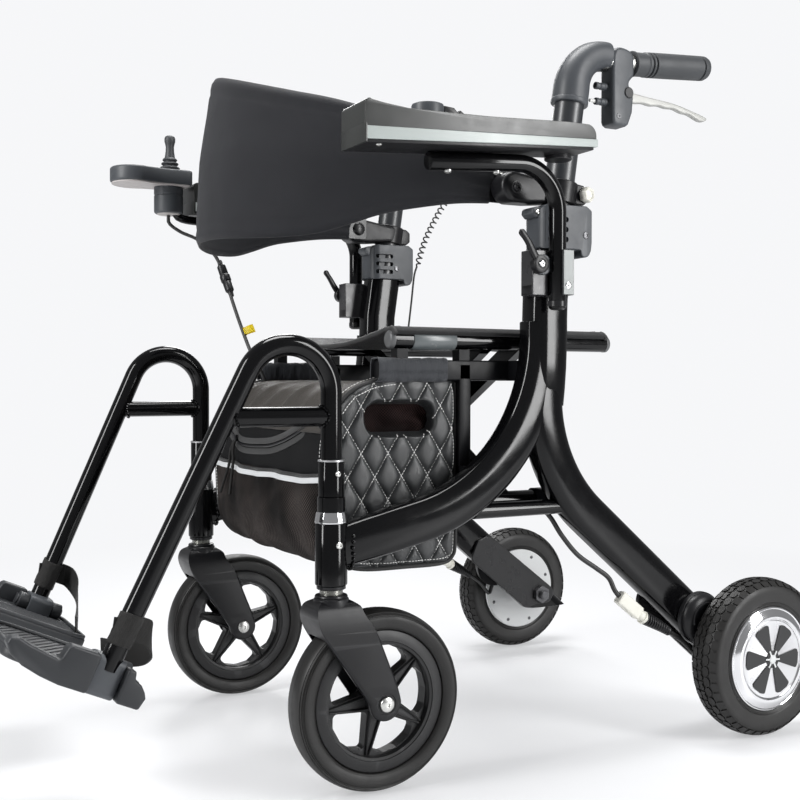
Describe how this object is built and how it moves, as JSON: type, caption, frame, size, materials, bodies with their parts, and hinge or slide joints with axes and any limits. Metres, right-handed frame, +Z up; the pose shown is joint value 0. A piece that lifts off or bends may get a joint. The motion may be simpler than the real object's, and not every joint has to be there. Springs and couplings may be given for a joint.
{
  "type": "electric rollator",
  "caption": "Folding motorised walking frame that turns into a seat on wheels, with hub motors, armrest joystick, back band, footrests and a bag.",
  "frame": {"origin": "on the floor, at the centre of the footprint", "axes": "+Z up; -Y towards the footrests, so the push handles point to +Y; +X to the seated user's left"},
  "size_m": [0.605, 1.0111, 0.8702],
  "materials": {
    "frame_black": "gloss black lacquer on steel tube",
    "satin_metal": "satin black powder coat",
    "black_plastic": "satin black glass-filled nylon",
    "charcoal_plastic": "fine-textured blue-grey charcoal plastic",
    "case_plastic": "matte dark grey plastic",
    "tyre": "solid black rubber tyre",
    "grip_rubber": "matte black rubber",
    "cable_rubber": "smooth black cable sheath",
    "steel": "bright zinc-plated steel",
    "hub_silver": "turned bright aluminium",
    "lever_silver": "satin anodised aluminium",
    "pad_vinyl": "smooth black moulded polyurethane foam skin",
    "band_fabric": "matte black woven fabric over foam",
    "seat_fabric": "matte brown-black nylon cloth",
    "bag_vinyl": "quilted black imitation leather with nylon cloth"
  },
  "bodies": {
    "left_side": {"side_frame_left": "frame_black", "post_clamp_left": "charcoal_plastic", "motor_bracket_left": "satin_metal", "motor_cover_left": "black_plastic", "motor_shaft_left": "steel", "motor_cable_left": "cable_rubber", "bag": "bag_vinyl", "battery_pack": "case_plastic", "motor_controller": "case_plastic"},
    "right_side": {"side_frame_right": "frame_black", "post_clamp_right": "charcoal_plastic", "motor_bracket_right": "satin_metal", "motor_cover_right": "black_plastic", "motor_shaft_right": "steel", "motor_cable_right": "cable_rubber", "brake_lead": "cable_rubber"},
    "cross_inner": {"cross_arm_inner": "frame_black"},
    "cross_outer": {"cross_arm_outer": "frame_black", "seat_sling": "seat_fabric"},
    "backrest": {"backrest_band": "band_fabric"},
    "gimbal": {"joystick_gimbal": "steel"},
    "stick": {"joystick_stick": "grip_rubber"},
    "button": {"power_button": "case_plastic"},
    "caster_left": {"caster_fork_left": "black_plastic", "front_axle_left": "steel"},
    "front_wheel_left": {"front_rim_left": "black_plastic", "front_tyre_left": "tyre"},
    "rear_wheel_left": {"hub_motor_left": "hub_silver", "rear_tyre_left": "tyre"},
    "handle_left": {"handle_post_left": "frame_black", "handle_elbow_left": "charcoal_plastic", "handle_grip_left": "grip_rubber", "brake_housing_left": "charcoal_plastic", "backrest_bracket_left": "charcoal_plastic"},
    "brake_lever_left": {"brake_lever_left": "lever_silver"},
    "armrest_left": {"armrest_tube_left": "frame_black", "armrest_pad_left": "pad_vinyl"},
    "armrest_lock_left": {"armrest_lever_left": "black_plastic"},
    "hanger_left": {"footrest_hanger_left": "frame_black"},
    "footplate_left": {"footplate_left": "charcoal_plastic"},
    "caster_right": {"caster_fork_right": "black_plastic", "front_axle_right": "steel"},
    "front_wheel_right": {"front_rim_right": "black_plastic", "front_tyre_right": "tyre"},
    "rear_wheel_right": {"hub_motor_right": "hub_silver", "rear_tyre_right": "tyre"},
    "handle_right": {"handle_post_right": "frame_black", "handle_elbow_right": "charcoal_plastic", "handle_grip_right": "grip_rubber", "brake_housing_right": "charcoal_plastic", "backrest_bracket_right": "charcoal_plastic", "brake_coil": "cable_rubber"},
    "brake_lever_right": {"brake_lever_right": "lever_silver"},
    "armrest_right": {"armrest_tube_right": "frame_black", "armrest_pad_right": "pad_vinyl", "joystick_pod": "charcoal_plastic", "joystick_cable": "cable_rubber"},
    "armrest_lock_right": {"armrest_lever_right": "black_plastic"},
    "hanger_right": {"footrest_hanger_right": "frame_black"},
    "footplate_right": {"footplate_right": "charcoal_plastic"}
  },
  "joints": [
    {"name": "fold", "type": "hinge", "parent": "left_side", "child": "cross_inner", "pos_m": [0.178, 0.0715, 0.305], "axis": [0, 1, 0], "range_deg": [0, 20], "deforming": ["seat_sling", "bag", "backrest_band"]},
    {"name": "fold_cross", "type": "hinge", "parent": "cross_inner", "child": "cross_outer", "pos_m": [0, 0.0805, 0.401], "axis": [0, 1, 0], "range_deg": [-40, 0]},
    {"name": "fold_right", "type": "hinge", "parent": "cross_outer", "child": "right_side", "pos_m": [-0.178, 0.0715, 0.305], "axis": [0, 1, 0], "range_deg": [0, 20]},
    {"name": "caster_swivel_left", "type": "hinge", "parent": "left_side", "child": "caster_left", "pos_m": [0.218, -0.1675, 0.23], "axis": [0, 0, 1], "continuous": true},
    {"name": "front_wheel_spin_left", "type": "hinge", "parent": "caster_left", "child": "front_wheel_left", "pos_m": [0.218, -0.1145, 0.1], "axis": [1, 0, 0], "continuous": true},
    {"name": "rear_wheel_spin_left", "type": "hinge", "parent": "left_side", "child": "rear_wheel_left", "pos_m": [0.277, 0.4055, 0.1], "axis": [1, 0, 0], "continuous": true},
    {"name": "handle_height_left", "type": "slide", "parent": "left_side", "child": "handle_left", "axis": [0, 0.1461, 0.9893], "range_m": [0, 0.06]},
    {"name": "brake_squeeze_left", "type": "hinge", "parent": "handle_left", "child": "brake_lever_left", "pos_m": [0.218, 0.22619, 0.803], "axis": [1, 0, 0], "range_deg": [0, 15], "stiffness_Nm_per_rad": 2, "springref_deg": -5.73},
    {"name": "armrest_height_left", "type": "slide", "parent": "left_side", "child": "armrest_left", "axis": [0, 0, 1], "range_m": [-0.02, 0.03]},
    {"name": "armrest_clamp_left", "type": "hinge", "parent": "left_side", "child": "armrest_lock_left", "pos_m": [0.2628, 0.0735, 0.583], "axis": [1, 0, 0], "range_deg": [0, 110]},
    {"name": "footrest_swing_left", "type": "hinge", "parent": "left_side", "child": "hanger_left", "pos_m": [0.218, -0.1675, 0.325], "axis": [0, 0, 1], "range_deg": [0, 90]},
    {"name": "footplate_flip_left", "type": "hinge", "parent": "hanger_left", "child": "footplate_left", "pos_m": [0.17, -0.40034, 0.16049], "axis": [0, 0.91, -0.4147], "range_deg": [0, 90]},
    {"name": "caster_swivel_right", "type": "hinge", "parent": "right_side", "child": "caster_right", "pos_m": [-0.218, -0.1675, 0.23], "axis": [0, 0, 1], "continuous": true},
    {"name": "front_wheel_spin_right", "type": "hinge", "parent": "caster_right", "child": "front_wheel_right", "pos_m": [-0.218, -0.1145, 0.1], "axis": [1, 0, 0], "continuous": true},
    {"name": "rear_wheel_spin_right", "type": "hinge", "parent": "right_side", "child": "rear_wheel_right", "pos_m": [-0.277, 0.4055, 0.1], "axis": [1, 0, 0], "continuous": true},
    {"name": "handle_height_right", "type": "slide", "parent": "right_side", "child": "handle_right", "axis": [0, 0.1461, 0.9893], "range_m": [0, 0.06]},
    {"name": "brake_squeeze_right", "type": "hinge", "parent": "handle_right", "child": "brake_lever_right", "pos_m": [-0.218, 0.22619, 0.803], "axis": [1, 0, 0], "range_deg": [0, 15], "stiffness_Nm_per_rad": 2, "springref_deg": -5.73},
    {"name": "armrest_height_right", "type": "slide", "parent": "right_side", "child": "armrest_right", "axis": [0, 0, 1], "range_m": [-0.02, 0.03]},
    {"name": "armrest_clamp_right", "type": "hinge", "parent": "right_side", "child": "armrest_lock_right", "pos_m": [-0.2628, 0.0735, 0.583], "axis": [1, 0, 0], "range_deg": [0, 110]},
    {"name": "footrest_swing_right", "type": "hinge", "parent": "right_side", "child": "hanger_right", "pos_m": [-0.218, -0.1675, 0.325], "axis": [0, 0, -1], "range_deg": [0, 90]},
    {"name": "footplate_flip_right", "type": "hinge", "parent": "hanger_right", "child": "footplate_right", "pos_m": [-0.17, -0.40034, 0.16049], "axis": [0, -0.91, 0.4147], "range_deg": [0, 90]},
    {"name": "backrest_flip", "type": "hinge", "parent": "handle_left", "child": "backrest", "pos_m": [0, 0.0675, 0.677], "axis": [-1, 0, 0], "range_deg": [0, 165]},
    {"name": "joystick_pitch", "type": "hinge", "parent": "armrest_right", "child": "gimbal", "pos_m": [-0.262, -0.1985, 0.75], "axis": [1, 0, 0], "range_deg": [-15, 15], "stiffness_Nm_per_rad": 0.05},
    {"name": "joystick_roll", "type": "hinge", "parent": "gimbal", "child": "stick", "pos_m": [-0.262, -0.1985, 0.75], "axis": [0, 1, 0], "range_deg": [-15, 15], "stiffness_Nm_per_rad": 0.05},
    {"name": "power_press", "type": "slide", "parent": "armrest_right", "child": "button", "axis": [0, 0, -1], "range_m": [0, 0.0012], "stiffness_N_per_m": 500, "springref_m": -0.001}
  ],
  "couplings": [
    {"joint": "fold_cross", "follows": "fold", "ratio": -2},
    {"joint": "fold_right", "follows": "fold", "ratio": 1},
    {"joint": "handle_height_right", "follows": "handle_height_left", "ratio": 1}
  ]
}
